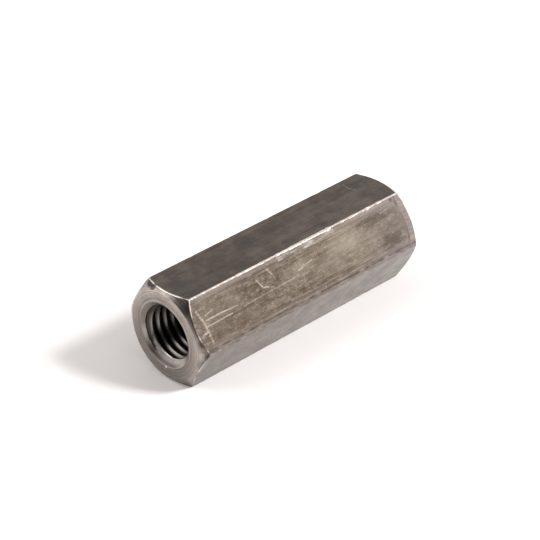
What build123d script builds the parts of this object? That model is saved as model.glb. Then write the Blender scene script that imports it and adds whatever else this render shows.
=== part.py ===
from build123d import *
import math
import os

# Drawn hexagonal bar, in millimetres
across_flats = 19.0
bar_corner_radius = 0.35
nut_length = 57.0

# Coarse M12 thread, right-handed and the same from both ends, pitch 1.75
thread_diameter = 12.0
tapping_drill = 10.4  # the largest that still leaves a sound thread

# Mouth of the thread at each end
countersink_margin = 0.6  # past the thread's outside, on the radius
countersink_angle = 90.0  # between the two sides of the cone

# Turned end: a flat ring that stops just inside the flats, then a cone over the six corners
face_inset = 0.6
end_chamfer_angle = 36.0  # between the cone and the end face

# Sizes that follow from the thread
tapping_radius = tapping_drill / 2
countersink_radius = thread_diameter / 2 + countersink_margin
countersink_depth = (countersink_radius - tapping_radius) / math.tan(
    math.radians(countersink_angle / 2)
)

# Sizes that follow from the bar
axis_height = across_flats / 2
corner_reach = axis_height / math.cos(math.pi / 6)
end_face_radius = axis_height - face_inset
end_chamfer_depth = (corner_reach - end_face_radius) * math.tan(
    math.radians(end_chamfer_angle)
)

# The nut lies on one flat, with its axis along X and its origin under its middle
near_end_centre = (-nut_length / 2, 0, axis_height)
near_end = Plane(origin=near_end_centre, x_dir=(0, 1, 0), z_dir=(1, 0, 0))
lengthwise = Plane(origin=near_end_centre, x_dir=(1, 0, 0), z_dir=(0, -1, 0))
nut_axis = Axis(near_end_centre, (1, 0, 0))

with BuildPart() as coupling_nut:
    # A length sawn from the drawn bar, whose six corners are slightly round
    with BuildSketch(near_end) as bar_section:
        RegularPolygon(radius=across_flats / 2, side_count=6, major_radius=False)
        fillet(bar_section.vertices(), bar_corner_radius)
    extrude(amount=nut_length)

    # Both ends are faced and chamfered in the lathe, which leaves a curved edge on each flat
    with BuildSketch(lengthwise) as turned_outline:
        with BuildLine():
            Polyline(
                (0, 0),
                (0, end_face_radius),
                (end_chamfer_depth, corner_reach),
                (nut_length - end_chamfer_depth, corner_reach),
                (nut_length, end_face_radius),
                (nut_length, 0),
                close=True,
            )
        make_face()
    revolve(axis=nut_axis, mode=Mode.INTERSECT)

    # Drilled to the tapping size from end to end
    with Locations(near_end):
        Hole(tapping_radius)

    # Both mouths are countersunk a little past the outside of the thread
    end_faces = coupling_nut.faces().filter_by(Axis.X)
    mouths = end_faces.edges().filter_by(
        lambda edge: edge.geom_type == GeomType.CIRCLE
        and math.isclose(edge.radius, tapping_radius, abs_tol=1e-4)
    )
    chamfer(mouths, countersink_depth, countersink_radius - tapping_radius)

coupling_nut.part.label = "coupling_nut"

os.makedirs("parts", exist_ok=True)
export_step(coupling_nut.part, "parts/coupling_nut.step")
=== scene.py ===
import math

import bmesh
import bpy
from mathutils import Matrix, Vector, noise


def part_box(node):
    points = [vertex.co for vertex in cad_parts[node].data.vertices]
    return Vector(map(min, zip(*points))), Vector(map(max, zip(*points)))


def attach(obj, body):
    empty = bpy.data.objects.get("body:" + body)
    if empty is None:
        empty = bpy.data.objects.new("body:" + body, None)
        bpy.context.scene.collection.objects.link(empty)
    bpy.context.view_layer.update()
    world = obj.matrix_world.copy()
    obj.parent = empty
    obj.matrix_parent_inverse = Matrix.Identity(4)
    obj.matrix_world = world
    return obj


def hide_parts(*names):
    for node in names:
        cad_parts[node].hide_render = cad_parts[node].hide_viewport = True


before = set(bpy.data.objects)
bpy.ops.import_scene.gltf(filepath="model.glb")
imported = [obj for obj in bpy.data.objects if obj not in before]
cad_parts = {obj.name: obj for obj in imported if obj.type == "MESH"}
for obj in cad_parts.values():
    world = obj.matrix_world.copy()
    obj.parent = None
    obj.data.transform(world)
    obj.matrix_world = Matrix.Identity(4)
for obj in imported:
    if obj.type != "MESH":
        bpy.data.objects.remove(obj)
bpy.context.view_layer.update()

# Coupling nut: a length sawn from cold-drawn hexagonal steel bar, with both ends faced and
# chamfered in the lathe, then drilled, countersunk and tapped from end to end. It has no
# plating, only a thin brown-grey oxide, and its corners are worn bright.
mm = 0.001
low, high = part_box("coupling_nut")
nut_length = (high.x - low.x) / mm
across_flats = (high.z - low.z) / mm
near_end = low.x / mm
axis_height = (low.z + high.z) / 2 / mm

bar_corner_radius = 0.35
half_arc = bar_corner_radius * math.pi / 6  # half the length of a rounded corner
end_face_radius = across_flats / 2 - 0.6
chamfer_angle = math.radians(36)   # between the chamfer's cone and the end face
face_edge_radius = 0.10            # the face's outer edge, hardly broken
curved_edge_radius = 0.30          # the curved edges on the flats, rubbed round
mouth_radius = 6.6
stations = 262                     # along a flat, about 0.21 mm apart
mouth_columns = 72                 # round the bore

# The flats by the angle of their middles, counted from the camera's side upwards: how scuffed each one is,
# how pale its oxide is, which underneath is partly a painted reflection of the white floor, and how bright
# its curved edges are rubbed
flat_finish = {
    90: (0.10, 0.15, 1.05),
    30: (1.0, 0.3, 0.7),
    -30: (0.05, 1.0, 0.6),
    -90: (0.5, 0.6, 0.5),
    -150: (0.45, 0.2, 0.6),
    150: (0.35, 0.1, 0.7),
}

# Knocks along each ridge: distance from the near end, length along the ridge and depth
knocks = {
    -180: ((6.8, 0.5, 0.10), (19.9, 1.3, 0.08), (35.3, 0.5, 0.15), (49.7, 0.8, 0.08)),
    -120: ((15.2, 0.7, 0.10), (23.4, 0.4, 0.14), (40.6, 1.1, 0.07)),
    -60: ((8.5, 0.6, 0.08), (27.0, 1.0, 0.06), (46.3, 0.5, 0.10)),
    0: ((1.9, 0.4, 0.14), (3.1, 0.9, 0.10), (8.9, 0.9, 0.06), (13.0, 0.5, 0.05), (19.9, 1.2, 0.06),
        (24.2, 0.6, 0.08), (28.9, 0.7, 0.07), (31.9, 0.5, 0.10), (37.7, 0.6, 0.13),
        (42.7, 1.1, 0.07), (47.0, 0.6, 0.06), (50.8, 0.8, 0.08)),
    60: ((13.8, 0.5, 0.02), (16.5, 2.0, 0.02), (19.6, 0.6, 0.03), (23.7, 0.35, 0.06),
         (27.4, 1.4, 0.05), (30.2, 1.1, 0.06), (33.0, 1.6, 0.05), (35.4, 1.0, 0.06),
         (36.7, 0.30, 0.11), (40.1, 0.5, 0.03), (43.3, 0.5, 0.03), (47.4, 0.35, 0.07),
         (50.2, 0.6, 0.03)),
    120: ((12.0, 0.9, 0.05), (31.5, 0.5, 0.06), (44.8, 0.8, 0.05)),
}
ridge_wear = {-180: 0.035, -120: 0.03, -60: 0.03, 0: 0.05, 60: 0.044, 120: 0.02}  # depth rubbed off
ridge_shine = {-180: 0.6, -120: 0.6, -60: 0.3, 0: 0.42, 60: 0.92, 120: 0.4}


def outward(angle):
    """Direction away from the axis, with 0 degrees on the camera's side and 90 on top."""
    turn = math.radians(angle)
    return Vector((0, -math.cos(turn), math.sin(turn)))


def on_nut(along, angle, out, across=0.0):
    """A point in mm: along from the near end, out from the axis, and across towards a larger angle."""
    place = outward(angle) * out + outward(angle + 90) * across
    return Vector((near_end + along, place.y, axis_height + place.z))


def section_point(ridge, offset):
    """A point of the bar's section, offset in mm round its outline from the tip of a ridge."""
    arc_centre = (across_flats / 2 - bar_corner_radius) / math.cos(math.pi / 6)
    turn = max(-half_arc, min(half_arc, offset)) / bar_corner_radius
    point = outward(ridge) * arc_centre + outward(ridge + math.degrees(turn)) * bar_corner_radius
    beyond = abs(offset) - half_arc
    if beyond > 0:
        point += outward(ridge + math.copysign(120, offset)) * beyond
    return point


def rounded(before, corner, after, radius, steps):
    """Points along the arc that rounds one corner of an outline."""
    before, corner, after = Vector(before), Vector(corner), Vector(after)
    back = (before - corner).normalized()
    on = (after - corner).normalized()
    half_angle = back.angle(on) / 2
    reach = radius / math.tan(half_angle)
    centre = corner + (back + on).normalized() * radius / math.sin(half_angle)
    start = corner + back * reach - centre
    end = corner + on * reach - centre
    sweep = math.pi - 2 * half_angle
    points = []
    for step in range(steps + 1):
        share = step / steps
        first = math.sin((1 - share) * sweep) / math.sin(sweep)
        second = math.sin(share * sweep) / math.sin(sweep)
        points.append(centre + start * first + end * second)
    return points


def end_profile(reach):
    """The turned end, then the curved edge's arc, in (along, out), for a column that reaches so far."""
    chamfer_depth = (reach - end_face_radius) * math.tan(chamfer_angle)
    face = (0, end_face_radius)
    edge = (chamfer_depth, reach)
    turned = [Vector((0, end_face_radius - 0.5)), Vector((0, end_face_radius - 0.15))]
    turned += rounded((0, 0), face, edge, face_edge_radius, 2)
    turned.append((Vector(face) + Vector(edge)) / 2)
    return turned, rounded(face, edge, (nut_length, reach), curved_edge_radius, 4)


def worn(point, ridge, offset, along):
    """Rubs and knocks the tip of a ridge flat, deepest in the middle of each knock."""
    rough = noise.noise(Vector((along * 0.9, ridge, 3.0)))
    fine = noise.noise(Vector((along * 3.1, offset * 2.0, ridge + 7.0)))
    depth = ridge_wear[ridge] * (1 + 0.6 * rough + 0.4 * fine)
    for middle, length, deepest in knocks[ridge]:
        share = math.exp(-((along - middle) / length) ** 2)
        depth += deepest * share * (1 + 0.35 * fine)
    tip = outward(ridge)
    limit = section_point(ridge, 0).dot(tip) - depth
    over = max(0.0, point.dot(tip) - limit)
    return point - tip * over, over


# Columns round the section, close together at the ridges, where the wear is
ridge_offsets = (0.08, 0.16, 0.25, 0.36, 0.50, 0.68, 0.92, 1.25, 1.8, 2.6, 3.5, 4.5)
half_flat = (across_flats / 2 - bar_corner_radius) * math.tan(math.pi / 6) + half_arc
columns = []
for ridge in sorted(knocks):
    offsets = [-value for value in reversed(ridge_offsets)] + [0.0] + list(ridge_offsets)
    columns += [(ridge, offset) for offset in offsets + [half_flat]]

# Rows of the shell along each column: the turned end, the curved edge's arc, the stations of
# the flat, and the same at the far end
turned_rows, edge_rows = (len(points) for points in end_profile(across_flats / 2))
flat_row = turned_rows + edge_rows
last_row = 2 * flat_row + stations - 1
far_line_rows = (last_row - 18, last_row - 17)  # about 1.5 mm from the far curved edge


def finish_at(ridge, offset):
    """Scuffs, paleness with its painted reflection, and edge shine at one column, blended over the ridge from
    flat to flat.
    """
    share = 0.5 + 0.5 * max(-1.0, min(1.0, offset / half_arc))
    before = flat_finish[(ridge - 30 + 180) % 360 - 180]
    after = flat_finish[(ridge + 30 + 180) % 360 - 180]
    return [a * (1 - share) + b * share for a, b in zip(before, after)]


def grime_and_shade_at(ridge, offset, along, row):
    """Dark marks: painted shade round the near curved edges on the camera's side and on top, and dark residue
    along the far curved edge and in streaks beside two ridges.
    """
    angle = ridge + math.degrees(math.atan2(offset, across_flats / 2))
    broken = 0.75 + 1.3 * noise.noise(Vector((along * 0.6, 11.0, ridge)))
    if row == turned_rows and -25 < angle < 58:
        return max(0.9 * math.exp(-((angle - 27) / 22) ** 4), 0.5)
    if row == turned_rows and 62 < angle < 106:
        return 0.75
    if row == turned_rows - 1 and 2 < angle < 58:
        return 0.5
    if row >= flat_row and ridge == 0 and 0.4 < offset < 1.0:
        return max(0.0, min(1.0, broken)) * (1.0 if 0.6 < offset < 0.8 else 0.4)
    if row in far_line_rows and 0 < angle < 58:
        return max(0.0, min(0.8, 0.35 + 1.2 * noise.noise(Vector((angle * 0.13, row * 0.2, 4.0)))))
    if ridge == 60 and -1.0 < offset < -0.3 and 53.0 < along < 54.6:
        return 0.6
    if row >= flat_row and ridge == 60 and -1.3 < offset < -1.2:
        return max(0.0, min(0.8, broken)) * math.exp(-((along - 17) / 9) ** 2)
    return 0.0


def edge_shine_at(angle):
    """How bright the curved edges are rubbed: least at the foot of the camera's upper flat."""
    if 0 < angle < 60:
        return 0.30 + 0.60 * min(1.0, max(0.0, angle - 2) / 34)
    if 105.5 < angle < 108.5:
        return 0.25
    if 108.5 <= angle < 120:
        return 0.72
    return 0.88


shell_points = []
shell_looks = {"wear": [], "scuff": [], "paleness_and_reflection": [], "margin": [], "grime_and_shade": []}
for ridge, offset in columns:
    section = section_point(ridge, offset)
    angle = math.degrees(math.atan2(section.z, -section.y))
    turned, arc = end_profile(section.length)
    first_station = arc[-1].x + 0.15
    station_gap = (nut_length - 2 * first_station) / (stations - 1)
    outline = [(point.x, point.y, 0.0) for point in turned] + [(point.x, point.y, 1.0) for point in arc]
    far_outline = [(nut_length - along, out, on_edge) for along, out, on_edge in reversed(outline)]
    outline += [(first_station + row * station_gap, section.length, 0.0) for row in range(stations)]
    outline += far_outline
    scuff, paleness_and_reflection, edge_shine = finish_at(ridge, offset)
    for row, (along, out, on_edge) in enumerate(outline):
        point = outward(angle) * out
        lathe_cut = min(row, last_row - row) <= turned_rows
        rubbed = 0.0
        if not lathe_cut:
            point, over = worn(point, ridge, offset, along)
            rubbed = min(1.0, over / 0.028) * ridge_shine[ridge]
            if ridge == 60 and -1.3 < offset < -0.2 and 23 < along < 38:
                streak = noise.noise(Vector((along * 0.4, offset * 2.6, 5.0)))
                rubbed = max(rubbed, 0.43 + 0.24 * streak)
        patchy = noise.noise(Vector((point.y * 0.55, point.z * 0.55, along * 0.1)))
        edge_wear = on_edge * edge_shine * (edge_shine_at(angle) + 0.9 * patchy)
        from_end = min(along, nut_length - along) - arc[2].x
        shell_looks["wear"].append(0.0 if lathe_cut else max(edge_wear, rubbed))
        shell_looks["scuff"].append(scuff)
        # The paleness fades towards the near end: painted shade for the shaded floor that the flats reflect
        # there
        shell_looks["paleness_and_reflection"].append(paleness_and_reflection * (0.62 + 0.38 * (along / nut_length) ** 0.8))
        shell_looks["grime_and_shade"].append(grime_and_shade_at(ridge, offset, along, row))
        shell_looks["margin"].append(max(0.0, min(abs(offset), from_end, 3.0)))
        shell_points.append(Vector((near_end + along, point.y, axis_height + point.z)))

rows = last_row + 1
shell_faces = []
face_finish = []  # 0 for drawn steel, 1 for turned steel
for column in range(len(columns)):
    following = (column + 1) % len(columns)
    for row in range(last_row):
        shell_faces.append((
            column * rows + row,
            column * rows + row + 1,
            following * rows + row + 1,
            following * rows + row,
        ))
        face_finish.append(1 if row < turned_rows or row >= last_row - turned_rows else 0)

# The end faces, from the countersink's rim to the turned outline: a lip that the countersink
# threw up and a ring that the facing tool left a little off centre, then the plain face
face_rings = (
    (mouth_radius, 0.0, 0.0),
    (mouth_radius + 0.07, 0.03, 0.1),
    (mouth_radius + 0.16, 0.0, 0.2),
    (7.02, 0.0, 1.0),
    (7.12, -0.04, 1.0),
    (7.22, 0.0, 1.0),
    (7.55, 0.0, 0.7),
)  # radius, height above the face, share of the off-centre shift
tool_shift = (0.12, 0.34)  # towards the camera's side and up
first_point = section_point(*columns[0])
start_angle = math.atan2(first_point.z, -first_point.y)  # where the rings and the bore begin


def stitch(inner, outer, outer_shares):
    """Triangles between two rings that run the same way round, with the outer points' shares of a turn."""
    triangles = []
    i = j = 0
    while i < len(inner) or j < len(outer):
        inner_now, inner_next = inner[i % len(inner)], inner[(i + 1) % len(inner)]
        outer_now, outer_next = outer[j % len(outer)], outer[(j + 1) % len(outer)]
        next_share = outer_shares[(j + 1) % len(outer)] + (j + 1 == len(outer))
        if j == len(outer) or (i < len(inner) and (i + 1) / len(inner) <= next_share):
            triangles.append((inner_now, outer_now, inner_next))
            i += 1
        else:
            triangles.append((inner_now, outer_now, outer_next))
            j += 1
    return triangles


for end_x, face_out, end_row in ((near_end, -1, 0), (near_end + nut_length, 1, last_row)):
    previous = None
    for radius, height, shift in face_rings:
        ring = []
        for number in range(mouth_columns):
            turn = start_angle + math.tau * number / mouth_columns
            ring.append(len(shell_points))
            shell_points.append(Vector((
                end_x + face_out * height,
                -radius * math.cos(turn) - shift * tool_shift[0],
                axis_height + radius * math.sin(turn) + shift * tool_shift[1],
            )))
            for name, values in shell_looks.items():
                values.append(0.6 if name == "grime_and_shade" and height < 0 else 0.0)
        if previous:
            for number in range(mouth_columns):
                following = (number + 1) % mouth_columns
                shell_faces.append((previous[number], ring[number], ring[following], previous[following]))
                face_finish.append(1)
        previous = ring
    outer = [column * rows + end_row for column in range(len(columns))]
    outer_shares = [0.0]
    for index in outer[1:]:
        point = shell_points[index]
        turn = math.atan2(point.z - axis_height, -point.y) - start_angle
        outer_shares.append(turn / math.tau % 1)
    for triangle in stitch(previous, outer, outer_shares):
        shell_faces.append(triangle)
        face_finish.append(1)

shell_mesh = bpy.data.meshes.new("nut_shell")
shell_mesh.from_pydata([point * mm for point in shell_points], [], shell_faces)
for name, values in shell_looks.items():
    attribute = shell_mesh.attributes.new(name, "FLOAT", "POINT")
    attribute.data.foreach_set("value", values)
shell_mesh.polygons.foreach_set("material_index", face_finish)
shell_mesh.polygons.foreach_set("use_smooth", [True] * len(shell_faces))


# Finishes of the nut. Each is the same plain steel, cut in a different way.
def linear(code):
    """An sRGB hex colour as the linear values that a shader takes."""
    channels = [int(code[start:start + 2], 16) / 255 for start in (1, 3, 5)]
    values = [c / 12.92 if c <= 0.04045 else ((c + 0.055) / 1.055) ** 2.4 for c in channels]
    return (*values, 1.0)


def add(tree, kind, inputs=(), **settings):
    """Adds one node and gives its first output in use. Inputs are a list in the order that the
    node shows them, or a dict by name."""
    node = tree.nodes.new(kind)
    for name, value in settings.items():
        setattr(node, name, value)
    if isinstance(inputs, dict):
        pairs = [(node.inputs[name], value) for name, value in inputs.items()]
    else:
        pairs = zip([socket for socket in node.inputs if socket.enabled], inputs)
    for socket, value in pairs:
        if isinstance(value, bpy.types.NodeSocket):
            tree.links.new(value, socket)
        else:
            socket.default_value = value
    return next((output for output in node.outputs if output.enabled), None)


def total(tree, *products):
    """The sum of some products, each given as a pair of values."""
    result = 0.0
    for first, second in products:
        result = add(tree, "ShaderNodeMath", [first, second, result], operation="MULTIPLY_ADD")
    return result


def coat(tree, base, colour, value, none_at, full_at, amount=1.0):
    """Lays a colour over a base, from none of it at one value smoothly to the amount at another."""
    share = add(tree, "ShaderNodeMapRange", [value, none_at, full_at, 0.0, amount],
                interpolation_type="SMOOTHSTEP")
    return add(tree, "ShaderNodeMix", [share, base, colour], data_type="RGBA")


def place_in_mm(tree):
    """The place on the nut, in mm, for patterns that are sized in mm."""
    coordinates = add(tree, "ShaderNodeTexCoord").node.outputs["Object"]
    return add(tree, "ShaderNodeVectorMath", [coordinates, (1 / mm,) * 3], operation="MULTIPLY")


# One straight scratch, as a mask that is 1 on the line from Start to End
scratch_group = bpy.data.node_groups.new("scratch", "ShaderNodeTree")
for name, kind in (("Place", "Vector"), ("Start", "Vector"), ("End", "Vector"), ("Width", "Float")):
    scratch_group.interface.new_socket(name, in_out="INPUT", socket_type="NodeSocket" + kind)
scratch_group.interface.new_socket("Mask", in_out="OUTPUT", socket_type="NodeSocketFloat")
given = scratch_group.nodes.new("NodeGroupInput").outputs
from_start = add(scratch_group, "ShaderNodeVectorMath", [given["Place"], given["Start"]],
                 operation="SUBTRACT")
whole = add(scratch_group, "ShaderNodeVectorMath", [given["End"], given["Start"]], operation="SUBTRACT")
reach_along = add(scratch_group, "ShaderNodeVectorMath", [from_start, whole], operation="DOT_PRODUCT")
whole_squared = add(scratch_group, "ShaderNodeVectorMath", [whole, whole], operation="DOT_PRODUCT")
share_along = add(scratch_group, "ShaderNodeMath", [reach_along, whole_squared],
                  operation="DIVIDE", use_clamp=True)
nearest = add(scratch_group, "ShaderNodeVectorMath", [whole, share_along], operation="SCALE")
gap = add(scratch_group, "ShaderNodeVectorMath", [from_start, nearest], operation="DISTANCE")
mask = add(scratch_group, "ShaderNodeMapRange", [gap, given["Width"], 0.0],
           interpolation_type="SMOOTHSTEP")
add(scratch_group, "NodeGroupOutput", [mask])

# Cold-drawn steel: the die leaves faint lengthwise streaks, and a thin oxide has darkened the
# flats to a brown grey. Handling has left pale scuffs and scratches, most of them on one flat,
# and the ridges are rubbed to bare bright metal.
drawn_steel = bpy.data.materials.new("cold_drawn_steel_thin_oxide")
drawn_steel.use_nodes = True
tree = drawn_steel.node_tree
tree.nodes.clear()
place = place_in_mm(tree)
along = add(tree, "ShaderNodeSeparateXYZ", [place]).node.outputs["X"]
looks = {}
for name in shell_looks:
    looks[name] = add(tree, "ShaderNodeAttribute", attribute_name=name).node.outputs["Fac"]

# Streaks 0.3 mm and 1.8 mm wide and twenty times as long, drawn coarser than the die's own so
# that they show, then clouds of 3.6 mm, mottle of 0.8 mm and specks of 0.2 mm
drawn_out = add(tree, "ShaderNodeVectorMath", [place, (0.05, 1.0, 1.0)], operation="MULTIPLY")
stretched = add(tree, "ShaderNodeVectorMath", [place, (0.6, 1.0, 1.0)], operation="MULTIPLY")
fine_streaks = add(tree, "ShaderNodeTexNoise", {"Vector": drawn_out, "Scale": 3.2, "Detail": 4.0})
broad_streaks = add(tree, "ShaderNodeTexNoise", {"Vector": drawn_out, "Scale": 0.55, "Detail": 3.0})
clouds = add(tree, "ShaderNodeTexNoise",
             {"Vector": place, "Scale": 0.28, "Detail": 6.0, "Roughness": 0.62})
mottle = add(tree, "ShaderNodeTexNoise",
             {"Vector": stretched, "Scale": 1.3, "Detail": 5.0, "Roughness": 0.7})
specks = add(tree, "ShaderNodeTexNoise", {"Vector": place, "Scale": 4.5, "Detail": 3.0})

# Scratches, with the flat's angle, width in mm, strength, and the points along and across in mm:
# two long parallel ones, the cross scratch at their foot with two short marks, curled scuffs a
# third of the way along, a long faint line with a short one past its end, and a small mark on
# the top flat
scratches = (
    (30, 0.22, 0.44, ((3.3, 0.65), (7.5, 0.62), (11.1, 0.35))),
    (30, 0.22, 0.36, ((3.0, -0.5), (9.4, -0.45))),
    (30, 0.40, 0.36, ((2.0, 2.9), (2.8, 0.5), (3.1, -3.5))),
    (30, 0.40, 0.36, ((1.3, -1.9), (3.1, -1.2))),
    (30, 0.24, 0.30, ((3.6, 1.5), (5.4, 1.9))),
    (30, 0.26, 0.38, ((19.8, 4.3), (20.8, 2.6))),
    (30, 0.30, 0.40, ((17.0, 2.8), (17.8, 1.2), (20.3, 0.3))),
    (30, 0.20, 0.26, ((12.3, -0.25), (26.7, 0.1))),
    (30, 0.28, 0.30, ((26.8, 0.9), (30.6, 1.6))),
    (90, 0.30, 0.26, ((50.5, 4.0), (50.2, 2.1), (50.8, 0.9))),
)
scratched = 0.0
for angle, width, strength, line in scratches:
    points = [on_nut(x, angle, across_flats / 2, across) for x, across in line]
    for start, end in zip(points, points[1:]):
        mark = add(tree, "ShaderNodeGroup", {"Place": place, "Start": start, "End": end, "Width": width},
                   node_tree=scratch_group)
        shown = add(tree, "ShaderNodeMath", [mark, strength], operation="MULTIPLY")
        scratched = add(tree, "ShaderNodeMath", [scratched, shown], operation="MAXIMUM")
# The scratches are broken up by the specks and the fine streaks
broken = add(tree, "ShaderNodeMapRange", [total(tree, (specks, 0.5), (fine_streaks, 0.5)), 0.36, 0.56],
             interpolation_type="SMOOTHSTEP")
scratched = add(tree, "ShaderNodeMath", [scratched, broken], operation="MULTIPLY")

# Where the oxide on the camera's upper flat is rubbed thin (above 0) or left thick (below 0):
# along and across in mm, radius across in mm (twice that along) and strength
patches = (
    (40.5, 0.4, 6.0, 0.12),
    (40.2, 1.4, 2.6, 0.08),
    (27.6, 1.3, 2.2, 0.08),
    (47.0, 2.9, 2.3, -0.11),
    (49.8, -2.6, 2.0, -0.11),
    (8.0, -2.4, 3.0, -0.07),
    (15.0, 2.2, 2.0, -0.07),
    (33.0, 1.0, 1.6, -0.06),
)
patch_shape = (0.5, 1.0, 1.0)
patch_place = add(tree, "ShaderNodeVectorMath", [place, patch_shape], operation="MULTIPLY")
mottle_swing = add(tree, "ShaderNodeMath", [mottle, 0.5], operation="SUBTRACT")
thinness = total(tree, (clouds, 0.35), (mottle, 0.42), (specks, 0.12), (fine_streaks, 0.18))
for x, across, radius, strength in patches:
    middle = on_nut(x, 30, across_flats / 2, across) * Vector(patch_shape)
    away = add(tree, "ShaderNodeVectorMath", [patch_place, middle], operation="DISTANCE")
    ragged = add(tree, "ShaderNodeMath", [mottle_swing, radius, away], operation="MULTIPLY_ADD")
    patch = add(tree, "ShaderNodeMapRange", [ragged, radius * 1.1, radius * 0.2],
                interpolation_type="SMOOTHSTEP")
    thinness = add(tree, "ShaderNodeMath", [patch, strength, thinness], operation="MULTIPLY_ADD")

# It is streaky beside the edges, and more even near the near end
near_edge = add(tree, "ShaderNodeMapRange", [looks["margin"], 3.0, 0.8, 0.0, 0.9],
                interpolation_type="SMOOTHSTEP")
streak_swing = add(tree, "ShaderNodeMath", [fine_streaks, 0.5], operation="SUBTRACT")
thinness = add(tree, "ShaderNodeMath", [streak_swing, near_edge, thinness], operation="MULTIPLY_ADD")
contrast = add(tree, "ShaderNodeMapRange", [along, -17.0, -7.0, 0.55, 1.0],
               interpolation_type="SMOOTHSTEP")
swing = add(tree, "ShaderNodeMath", [thinness, 0.55], operation="SUBTRACT")
thinness = add(tree, "ShaderNodeMath", [swing, contrast, 0.55], operation="MULTIPLY_ADD")
oxide_share = add(tree, "ShaderNodeMapRange", [thinness, 0.435, 0.795])
scuffed = add(tree, "ShaderNodeMix", [oxide_share, linear("#4f453a"), linear("#998e81")],
              data_type="RGBA")

# Towards its edges that flat is rubbed clear of the brown oxide, to a pinkish grey, and more so
# in its far half. Beside the near end's curved edge, round the foot of the scratches, it is redder
far_share = add(tree, "ShaderNodeMapRange", [along, 12.0, 27.0], interpolation_type="SMOOTHSTEP")
rim_place = total(tree, (looks["margin"], 1.0), (mottle_swing, 3.5), (streak_swing, 3.5),
                  (far_share, -0.7))
rim_colour = add(tree, "ShaderNodeMix", [far_share, linear("#8c817d"), linear("#9f9492")],
                 data_type="RGBA")
scuffed = coat(tree, scuffed, rim_colour, rim_place, 1.7, 0.3, 0.5)
at_foot = add(tree, "ShaderNodeMapRange", [along, near_end + 3.4, near_end + 1.6, 0.0, 0.65],
              interpolation_type="SMOOTHSTEP")
scuffed = coat(tree, scuffed, linear("#574a42"), mottle, 0.60, 0.44, at_foot)
scuffed = add(tree, "ShaderNodeMix", [total(tree, (far_share, 0.22)), scuffed, linear("#8e888b")],
              data_type="RGBA")

# The quiet flats: soft streaks along the nut, crossed by larger clouds, darker and cooler at one place on
# top, and paler underneath, partly as a painted reflection of the white floor
quiet_value = total(tree, (broad_streaks, 0.32), (clouds, 0.50), (fine_streaks, 0.18))
quiet = coat(tree, linear("#58534e"), linear("#7b7369"), quiet_value, 0.38, 0.62)
shade_middle = on_nut(4.5, 90, across_flats / 2, -2.8)
away = add(tree, "ShaderNodeVectorMath", [place, shade_middle], operation="DISTANCE")
quiet = coat(tree, quiet, linear("#4b4b4c"), away, 5.0, 1.5, 0.55)
pale_oxide_and_reflection = coat(tree, linear("#928c8a"), linear("#a8a29e"),
                  total(tree, (clouds, 0.6), (mottle, 0.4)), 0.40, 0.62)
quiet = add(tree, "ShaderNodeMix", [looks["paleness_and_reflection"], quiet, pale_oxide_and_reflection], data_type="RGBA")

flat_colour = add(tree, "ShaderNodeMix", [looks["scuff"], quiet, scuffed], data_type="RGBA")
pale_amount = total(tree, (looks["scuff"], 0.14))
flat_colour = coat(tree, flat_colour, linear("#d8cfc6"), total(tree, (specks, mottle)), 0.29, 0.38,
                   pale_amount)
flat_colour = add(tree, "ShaderNodeMix", [scratched, flat_colour, linear("#dccfc4")],
                  data_type="RGBA")
# Dark residue, and painted shade along the near curved edges on the camera's side
flat_colour = add(tree, "ShaderNodeMix", [total(tree, (looks["grime_and_shade"], 0.8)), flat_colour, linear("#3f352f")],
                  data_type="RGBA")
bright = add(tree, "ShaderNodeMapRange", [total(tree, (looks["wear"], 1.0), (mottle, 0.5)), 0.6, 1.05],
             interpolation_type="SMOOTHSTEP")
steel_colour = add(tree, "ShaderNodeMix", [bright, flat_colour, linear("#ece5de")], data_type="RGBA")
dull = add(tree, "ShaderNodeMapRange",
           [total(tree, (fine_streaks, 1.0), (oxide_share, -0.3)), 0.1, 0.9, 0.34, 0.52])
roughness = add(tree, "ShaderNodeMix", [bright, dull, 0.30], data_type="FLOAT")
relief = total(tree, (fine_streaks, 0.5), (mottle, 0.6), (scratched, -0.7))
bump = add(tree, "ShaderNodeBump", {"Strength": 0.35, "Distance": 0.02 * mm, "Height": relief})
surface = add(tree, "ShaderNodeBsdfPrincipled",
              {"Base Color": steel_colour, "Metallic": 1.0, "Roughness": roughness, "Normal": bump})
add(tree, "ShaderNodeOutputMaterial", {"Surface": surface})


def round_axis(tree, place):
    """The places across and up from the nut's axis, and the radius round it, in mm."""
    parts = add(tree, "ShaderNodeSeparateXYZ", [place]).node.outputs
    rise = add(tree, "ShaderNodeMath", [parts["Z"], axis_height], operation="SUBTRACT")
    squared = total(tree, (parts["Y"], parts["Y"]), (rise, rise))
    radius = add(tree, "ShaderNodeMath", [squared], operation="SQRT")
    return parts["Y"], rise, radius


# Turned steel: the facing tool leaves fine rings round the axis, 0.2 mm apart, clean and a little warmer than
# the drawn flats, and the outer cone is painted darker as shade and dark reflection.
turned_steel = bpy.data.materials.new("turned_steel")
turned_steel.use_nodes = True
tree = turned_steel.node_tree
tree.nodes.clear()
place = place_in_mm(tree)
across, rise, radius = round_axis(tree, place)
grime_and_shade = add(tree, "ShaderNodeAttribute", attribute_name="grime_and_shade").node.outputs["Fac"]
rings = add(tree, "ShaderNodeTexNoise", {"W": radius, "Scale": 5.0, "Detail": 4.0},
            noise_dimensions="1D")
blotches = add(tree, "ShaderNodeTexNoise",
               {"Vector": place, "Scale": 0.45, "Detail": 5.0, "Roughness": 0.6})  # 2.2 mm
tone = total(tree, (rings, 0.6), (blotches, 0.5))
face_colour = coat(tree, linear("#877d76"), linear("#b3aba3"), tone, 0.38, 0.68)
face_colour = coat(tree, face_colour, linear("#6d6662"), radius, 8.5, 7.5, 0.3)  # duller inside 8 mm
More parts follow.
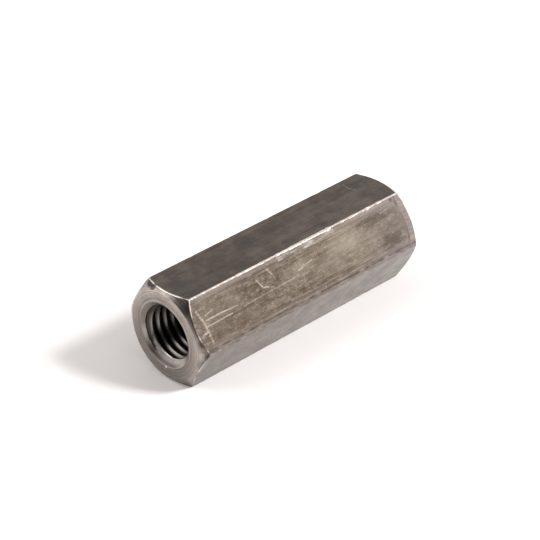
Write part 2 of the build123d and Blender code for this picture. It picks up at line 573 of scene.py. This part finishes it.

# The countersink is painted lighter and darker round the mouth for the light and shade it shows, darkest from
# the camera's side to the top and palest low down on either side: degrees counted from the camera's side
# upwards, and colours
mouth_shading_stops = (
    (-138, "#d8d1cb"), (-112, "#726c69"), (-80, "#746e6b"), (-45, "#c2bab3"),
    (-10, "#6c6663"), (40, "#514c4a"), (95, "#524d4b"), (128, "#a8a29d"), (160, "#8a847f"),
)
to_camera = add(tree, "ShaderNodeMath", [across, -1.0], operation="MULTIPLY")
turn = add(tree, "ShaderNodeMath", [rise, to_camera], operation="ARCTAN2")
turn_share = add(tree, "ShaderNodeMath", [turn, 1 / math.tau, 0.5], operation="MULTIPLY_ADD")
shaded_mouth_colour = add(tree, "ShaderNodeValToRGB", [turn_share])
stops = shaded_mouth_colour.node.color_ramp.elements
stops[0].color = linear("#7e7975")
stops[-1].color = linear("#7e7975")
for degrees, code in mouth_shading_stops:
    stops.new(degrees / 360 + 0.5).color = linear(code)
# Low down on the camera's side the countersink's outer part is painted darker, as shade
foot_shade_amount = add(tree, "ShaderNodeMapRange", [rise, -3.0, -5.0, 0.0, 0.75],
               interpolation_type="SMOOTHSTEP")
at_foot = add(tree, "ShaderNodeMapRange", [across, -4.5, -1.5, 0.0, foot_shade_amount],
              interpolation_type="SMOOTHSTEP")
shaded_mouth_colour = coat(tree, shaded_mouth_colour, linear("#3f3b39"), radius, 5.8, 6.3, at_foot)
# Its inner edge is painted pale low down, as a highlight
inner_edge_highlight = add(tree, "ShaderNodeMapRange", [rise, 1.0, -3.0, 0.0, 0.55],
                 interpolation_type="SMOOTHSTEP")
shaded_mouth_colour = coat(tree, shaded_mouth_colour, linear("#cfc8c0"), radius, 5.48, 5.28, inner_edge_highlight)
in_mouth = add(tree, "ShaderNodeMapRange", [radius, mouth_radius + 0.02, mouth_radius - 0.10],
               interpolation_type="SMOOTHSTEP")
face_colour = add(tree, "ShaderNodeMix", [in_mouth, face_colour, shaded_mouth_colour], data_type="RGBA")

# Towards the floor and the near side the face is painted darker in blotches: painted shade for the shaded
# floor that it reflects
out_of_mouth = add(tree, "ShaderNodeMath", [1.0, in_mouth], operation="SUBTRACT")
floor_shade_share = add(tree, "ShaderNodeMapRange", [blotches, 0.40, 0.60, 0.22, 0.62],
               interpolation_type="SMOOTHSTEP")
floor_shade_share = add(tree, "ShaderNodeMath", [floor_shade_share, out_of_mouth], operation="MULTIPLY")
low_side = total(tree, (rise, 1.0), (across, -0.30))
face_colour = coat(tree, face_colour, linear("#6f6968"), low_side, 7.0, -9.0, floor_shade_share)

# The outer part of the chamfer's cone is painted darker, and dark spots are painted on the cone as shade and
# dark reflections, most of all at the corner between the top flat and the camera's upper flat. Residue lies
# in the grooves, and painted shade along the outer edge on the camera's side
ragged = total(tree, (radius, 1.0), (blotches, 0.8))
face_colour = coat(tree, face_colour, linear("#857a75"), ragged, end_face_radius + 1.25,
                   end_face_radius + 1.55, 0.6)
painted_dark_spots = (
    (on_nut(0.4, 61, 9.6), 3.5, 0.85),
    (on_nut(0.9, 115.5, 10.15), 1.3, 0.95),
    (on_nut(0.5, 109, 9.6), 1.2, 0.95),
    (on_nut(0.8, 13, 10.0), 1.2, 0.75),
    (on_nut(1.3, -3, 10.9), 1.4, 0.80),
    (on_nut(0.4, 80, 9.4), 1.6, 0.25),
    (on_nut(0.4, 97, 9.4), 1.6, 0.25),
    (on_nut(0.5, -14, 9.6), 1.4, 0.40),
)  # middle in mm, radius and strength
patchy = add(tree, "ShaderNodeMapRange", [tone, 0.70, 0.45, 0.83, 1.05],
             interpolation_type="SMOOTHSTEP")
on_cone = add(tree, "ShaderNodeMapRange",
              [radius, end_face_radius - 0.02, end_face_radius + 0.12, 0.0, patchy],
              interpolation_type="SMOOTHSTEP")
for middle, spot_radius, strength in painted_dark_spots:
    away = add(tree, "ShaderNodeVectorMath", [place, middle], operation="DISTANCE")
    face_colour = coat(tree, face_colour, linear("#292427"), away, spot_radius, spot_radius * 0.35,
                       total(tree, (on_cone, strength)))
# Dark residue in the ring groove, and painted shade along the outer edge on the camera's side
face_colour = add(tree, "ShaderNodeMix", [total(tree, (grime_and_shade, 0.8)), face_colour, linear("#443a36")],
                  data_type="RGBA")
fleck_middle = (near_end, 0.05, axis_height - 6.92)  # a small bright fleck at the foot of the mouth
away = add(tree, "ShaderNodeVectorMath", [place, fleck_middle], operation="DISTANCE")
face_colour = coat(tree, face_colour, linear("#eee7e0"), away, 0.38, 0.1, 0.7)
roughness = add(tree, "ShaderNodeMapRange", [rings, 0.2, 0.8, 0.34, 0.5])
bump = add(tree, "ShaderNodeBump", {"Strength": 0.3, "Distance": 0.02 * mm, "Height": rings})
surface = add(tree, "ShaderNodeBsdfPrincipled",
              {"Base Color": face_colour, "Metallic": 1.0, "Roughness": roughness, "Normal": bump})
add(tree, "ShaderNodeOutputMaterial", {"Surface": surface})

# Tapped steel: the tap leaves smooth flanks with fine lines round the bore, about 0.1 mm wide. They are
# painted darker more and more towards the middle of the bore and towards its top, partly for old cutting oil
# and partly as shade, and the grooves are painted dark as shade.
tapped_steel = bpy.data.materials.new("tapped_steel")
tapped_steel.use_nodes = True
tree = tapped_steel.node_tree
tree.nodes.clear()
place = place_in_mm(tree)
across, rise, radius = round_axis(tree, place)
along = add(tree, "ShaderNodeSeparateXYZ", [place]).node.outputs["X"]
from_middle = add(tree, "ShaderNodeMath", [along], operation="ABSOLUTE")
squeezed = add(tree, "ShaderNodeVectorMath", [place, (4.0, 0.6, 0.6)], operation="MULTIPLY")
lines = add(tree, "ShaderNodeTexNoise", {"Vector": squeezed, "Scale": 2.0, "Detail": 3.0})
thread_colour = add(tree, "ShaderNodeMix", [lines, linear("#736f6c"), linear("#96918d")],
                    data_type="RGBA")
# Painted shade and old cutting oil: darker deep in the bore and towards its top
oil_and_shade = total(tree, (from_middle, 1.0), (rise, -1.1))
thread_colour = coat(tree, thread_colour, linear("#3b3836"), oil_and_shade, nut_length / 2 - 1.4,
                     nut_length / 2 - 7.8)
# Painted shade in the grooves, where the crests hide the light
groove_shade = add(tree, "ShaderNodeMapRange", [radius, 5.20, 5.62, 0.0, 0.9])
thread_colour = add(tree, "ShaderNodeMix", [groove_shade, thread_colour, linear("#35322f")],
                    data_type="RGBA")
# Where the thread runs out into the countersink it has the countersink's own grey
past_cone = total(tree, (radius, 1.0), (from_middle, -1.0))
cone_at = mouth_radius - nut_length / 2
thread_colour = coat(tree, thread_colour, linear("#8b847e"), past_cone, cone_at + 0.08, cone_at + 0.02)
bump = add(tree, "ShaderNodeBump", {"Strength": 0.25, "Distance": 0.01 * mm, "Height": lines})
surface = add(tree, "ShaderNodeBsdfPrincipled",
              {"Base Color": thread_colour, "Metallic": 1.0, "Roughness": 0.28, "Normal": bump})
add(tree, "ShaderNodeOutputMaterial", {"Surface": surface})

# The thread: M12 coarse, right-handed, cut by the tap from end to end. It runs out into the
# countersink at each mouth. A grid is wound into the helix, and joined to the shell at the rims.
bore = bpy.data.node_groups.new("tapped_bore", "GeometryNodeTree")
bore.is_modifier = True
bore.interface.new_socket("Shell", in_out="INPUT", socket_type="NodeSocketGeometry")
bore.interface.new_socket("Nut", in_out="OUTPUT", socket_type="NodeSocketGeometry")
thread_sizes = {
    "Length": nut_length * mm,
    "Near end": near_end * mm,
    "Axis height": axis_height * mm,
    "Pitch": 1.75 * mm,
    "Groove radius": 6.0 * mm,
    "Crest radius": 5.2 * mm,
    "Mouth radius": mouth_radius * mm,
    "First crest": -0.08 * mm,
    "Start angle": math.pi - start_angle,
}
thread_counts = {"Columns": mouth_columns, "Rows per turn": 16}
sockets = {}
for name in thread_sizes:
    sockets[name] = bore.interface.new_socket(name, in_out="INPUT", socket_type="NodeSocketFloat")
for name in thread_counts:
    sockets[name] = bore.interface.new_socket(name, in_out="INPUT", socket_type="NodeSocketInt")
given = bore.nodes.new("NodeGroupInput").outputs

# The grid has one column more than the bore, which closes it, and two and a half turns more
# than the nut, which reach past both ends
pitches = add(bore, "ShaderNodeMath", [given["Length"], given["Pitch"]], operation="DIVIDE")
pitches = add(bore, "ShaderNodeMath", [pitches, 2.5], operation="ADD")
turns = add(bore, "ShaderNodeMath", [pitches], operation="CEIL")
row_count = add(bore, "ShaderNodeMath", [turns, given["Rows per turn"], 1.0], operation="MULTIPLY_ADD")
ring_count = add(bore, "ShaderNodeMath", [given["Columns"], 1.0], operation="ADD")
sheet = add(bore, "GeometryNodeMeshGrid", [1.0, 1.0, ring_count, row_count])
sheet_place = add(bore, "ShaderNodeSeparateXYZ", [add(bore, "GeometryNodeInputPosition")]).node.outputs
turn_share = add(bore, "ShaderNodeMath", [sheet_place["X"], 0.5], operation="ADD")
row_share = add(bore, "ShaderNodeMath", [sheet_place["Y"], 0.5], operation="ADD")

# Each row follows the helix, and is held at the end faces
turn = add(bore, "ShaderNodeMath", [turn_share, -math.tau, given["Start angle"]],
           operation="MULTIPLY_ADD")
wound = add(bore, "ShaderNodeMath", [row_share, turns, -1.25], operation="MULTIPLY_ADD")
wound = add(bore, "ShaderNodeMath", [turn, 1 / math.tau, wound], operation="MULTIPLY_ADD")
along = add(bore, "ShaderNodeMath", [wound, given["Pitch"], given["First crest"]],
            operation="MULTIPLY_ADD")
along = add(bore, "ShaderNodeClamp", [along, 0.0, given["Length"]])

# The profile is drawn rounder than the standard one, with a narrow crest and a full groove
past_crest = add(bore, "ShaderNodeMath", [along, given["First crest"]], operation="SUBTRACT")
past_crest = add(bore, "ShaderNodeMath", [past_crest, given["Pitch"]], operation="DIVIDE")
phase = add(bore, "ShaderNodeMath", [turn, -1 / math.tau, past_crest], operation="MULTIPLY_ADD")
from_crest = add(bore, "ShaderNodeMath", [phase, 0.5], operation="PINGPONG")
flank_share = add(bore, "ShaderNodeMapRange", [from_crest, 1 / 16, 7 / 16])
flank_share = add(bore, "ShaderNodeMath", [flank_share, 1.3], operation="POWER")
depth = add(bore, "ShaderNodeMath", [given["Groove radius"], given["Crest radius"]],
            operation="SUBTRACT")
flank = add(bore, "ShaderNodeMath", [flank_share, depth, given["Crest radius"]],
            operation="MULTIPLY_ADD")
from_far_end = add(bore, "ShaderNodeMath", [given["Length"], along], operation="SUBTRACT")
from_end = add(bore, "ShaderNodeMath", [along, from_far_end], operation="MINIMUM")
cone = add(bore, "ShaderNodeMath", [given["Mouth radius"], from_end], operation="SUBTRACT")
radius = add(bore, "ShaderNodeMath", [flank, cone, 0.12 * mm], operation="SMOOTH_MAX")
x = add(bore, "ShaderNodeMath", [given["Near end"], along], operation="ADD")
cosine = add(bore, "ShaderNodeMath", [turn], operation="COSINE")
sine = add(bore, "ShaderNodeMath", [turn], operation="SINE")
y = add(bore, "ShaderNodeMath", [radius, cosine], operation="MULTIPLY")
z = add(bore, "ShaderNodeMath", [radius, sine, given["Axis height"]], operation="MULTIPLY_ADD")
placed = add(bore, "ShaderNodeCombineXYZ", [x, y, z])

# Faces of the sheet are marked 1 for thread and 2 for countersink, and the shell's are 0
above_flank = add(bore, "ShaderNodeMath", [radius, flank], operation="SUBTRACT")
in_cone = add(bore, "ShaderNodeMath", [above_flank, 0.04 * mm], operation="GREATER_THAN")
mark = add(bore, "ShaderNodeMath", [in_cone, 1.0], operation="ADD")
cut = bore.nodes.new("GeometryNodeCaptureAttribute")
cut.domain = "FACE"
cut.capture_items.new("FLOAT", "Cut")
bore.links.new(sheet, cut.inputs["Geometry"])
bore.links.new(mark, cut.inputs["Cut"])
wall = add(bore, "GeometryNodeSetPosition", {"Geometry": cut.outputs["Geometry"], "Position": placed})
wall = add(bore, "GeometryNodeSetShadeSmooth", [wall])
both = add(bore, "GeometryNodeJoinGeometry", [given["Shell"]])
bore.links.new(wall, both.node.inputs[0])
joined = add(bore, "GeometryNodeMergeByDistance", {"Geometry": both, "Distance": 0.002 * mm})
bend = add(bore, "GeometryNodeInputMeshEdgeAngle")
crisp = add(bore, "ShaderNodeMath", [bend, math.radians(35)], operation="GREATER_THAN")
joined = add(bore, "GeometryNodeSetShadeSmooth",
             {"Geometry": joined, "Selection": crisp, "Shade Smooth": False}, domain="EDGE")
dressed = add(bore, "GeometryNodeRealizeInstances", [joined])
for least, steel in ((0.5, tapped_steel), (1.5, turned_steel)):
    chosen = add(bore, "FunctionNodeCompare", [cut.outputs["Cut"], least], operation="GREATER_THAN")
    dressed = add(bore, "GeometryNodeSetMaterial",
                  {"Geometry": dressed, "Selection": chosen, "Material": steel})
add(bore, "NodeGroupOutput", [dressed])

shell_mesh.materials.append(drawn_steel)
shell_mesh.materials.append(turned_steel)
shell = bpy.data.objects.new("nut_shell", shell_mesh)
bpy.context.scene.collection.objects.link(shell)
threading = shell.modifiers.new("tapped bore", "NODES")
threading.node_group = bore
for name, value in {**thread_sizes, **thread_counts}.items():
    threading[sockets[name].identifier] = value
depsgraph = bpy.context.evaluated_depsgraph_get()
nut_mesh = bpy.data.meshes.new_from_object(shell.evaluated_get(depsgraph))
nut_mesh.name = "coupling_nut_steel"
bpy.data.objects.remove(shell)

closed = bmesh.new()
closed.from_mesh(nut_mesh)
bmesh.ops.recalc_face_normals(closed, faces=closed.faces)
closed.to_mesh(nut_mesh)
closed.free()
nut = bpy.data.objects.new("coupling_nut_steel", nut_mesh)
bpy.context.scene.collection.objects.link(nut)
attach(nut, "root")
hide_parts("coupling_nut")

# Floor: a smooth matt white sheet that the nut lies on. It is so pale that only the nut's
# shadow shows on it.
floor_half = 1.5
floor_mesh = bpy.data.meshes.new("floor")
floor_mesh.from_pydata(
    [(-floor_half, -floor_half, 0), (floor_half, -floor_half, 0),
     (floor_half, floor_half, 0), (-floor_half, floor_half, 0)], [], [(0, 1, 2, 3)])
floor = bpy.data.objects.new("floor", floor_mesh)
bpy.context.scene.collection.objects.link(floor)
white_paper = bpy.data.materials.new("matt_white_paper")
white_paper.use_nodes = True
tree = white_paper.node_tree
tree.nodes.clear()
surface = add(tree, "ShaderNodeBsdfPrincipled", {"Base Color": linear("#faf8f7"), "Roughness": 0.9})
add(tree, "ShaderNodeOutputMaterial", {"Surface": surface})
floor_mesh.materials.append(white_paper)

# Light: a soft box above and to the right of the camera's view, a weak one behind the nut on
# the left, and a dim studio round them, whose side beyond the near end and behind the camera
# is unlit.
scene = bpy.context.scene
scene.world = bpy.data.worlds.new("studio")
scene.world.use_nodes = True
tree = scene.world.node_tree
tree.nodes.clear()
outlook = add(tree, "ShaderNodeTexCoord")
height = add(tree, "ShaderNodeSeparateXYZ", [outlook]).node.outputs["Z"]
studio_colour = coat(tree, linear("#bcb6b4"), linear("#cec9c7"), height, 0.9, 0.0)
unlit_way = Vector((-0.80, -0.45, 0.40)).normalized()
towards_unlit = add(tree, "ShaderNodeVectorMath", [outlook, unlit_way], operation="DOT_PRODUCT")
studio_colour = coat(tree, studio_colour, linear("#2b2725"), towards_unlit, 0.72, 0.90)
studio = add(tree, "ShaderNodeBackground", {"Color": studio_colour, "Strength": 1.14})
add(tree, "ShaderNodeOutputWorld", {"Surface": studio})


def soft_box(name, direction, distance, side, watts):
    """A square lamp that faces the nut's middle from one direction."""
    lamp = bpy.data.lights.new(name, "AREA")
    lamp.size = side
    lamp.energy = watts
    holder = bpy.data.objects.new(name, lamp)
    away = Vector(direction).normalized()
    holder.location = away * distance + Vector((0, 0, axis_height * mm))
    holder.rotation_mode = "QUATERNION"
    holder.rotation_quaternion = away.to_track_quat("Z", "Y")
    bpy.context.scene.collection.objects.link(holder)


soft_box("key_soft_box", (0.40, -0.60, 0.655), distance=1.2, side=0.25, watts=13.3)
soft_box("fill_soft_box", (-0.62, 0.60, 0.50), distance=1.2, side=1.20, watts=8.4)

# Camera: as fitted to the nut's outline in the photograph, with places and distances in widths
# across the flats, and the lens worked out from its length in pixels of the picture
photo_width = 540
focal_pixels = 2336.79
azimuth, elevation, roll = (math.radians(angle) for angle in (-42.977, 31.571, -1.479))
camera_distance = 23.241 * across_flats * mm
target = Vector((near_end + 1.410 * across_flats, 0, axis_height + 0.120 * across_flats)) * mm
back = Vector((
    math.sin(azimuth) * math.cos(elevation),
    -math.cos(azimuth) * math.cos(elevation),
    math.sin(elevation),
))
level_right = Vector((math.cos(azimuth), math.sin(azimuth), 0))
level_up = back.cross(level_right)
right = level_right * math.cos(roll) + level_up * math.sin(roll)
up = level_up * math.cos(roll) - level_right * math.sin(roll)
camera_data = bpy.data.cameras.new("camera")
camera_data.sensor_width = 36.0
camera_data.lens = focal_pixels / photo_width * camera_data.sensor_width
camera_data.clip_start = 0.01
camera = bpy.data.objects.new("camera", camera_data)
scene.collection.objects.link(camera)
turned_to_view = Matrix((right, up, back)).transposed().to_4x4()
camera.matrix_world = Matrix.Translation(target + back * camera_distance) @ turned_to_view
scene.camera = camera

scene.view_settings.view_transform = "Standard"
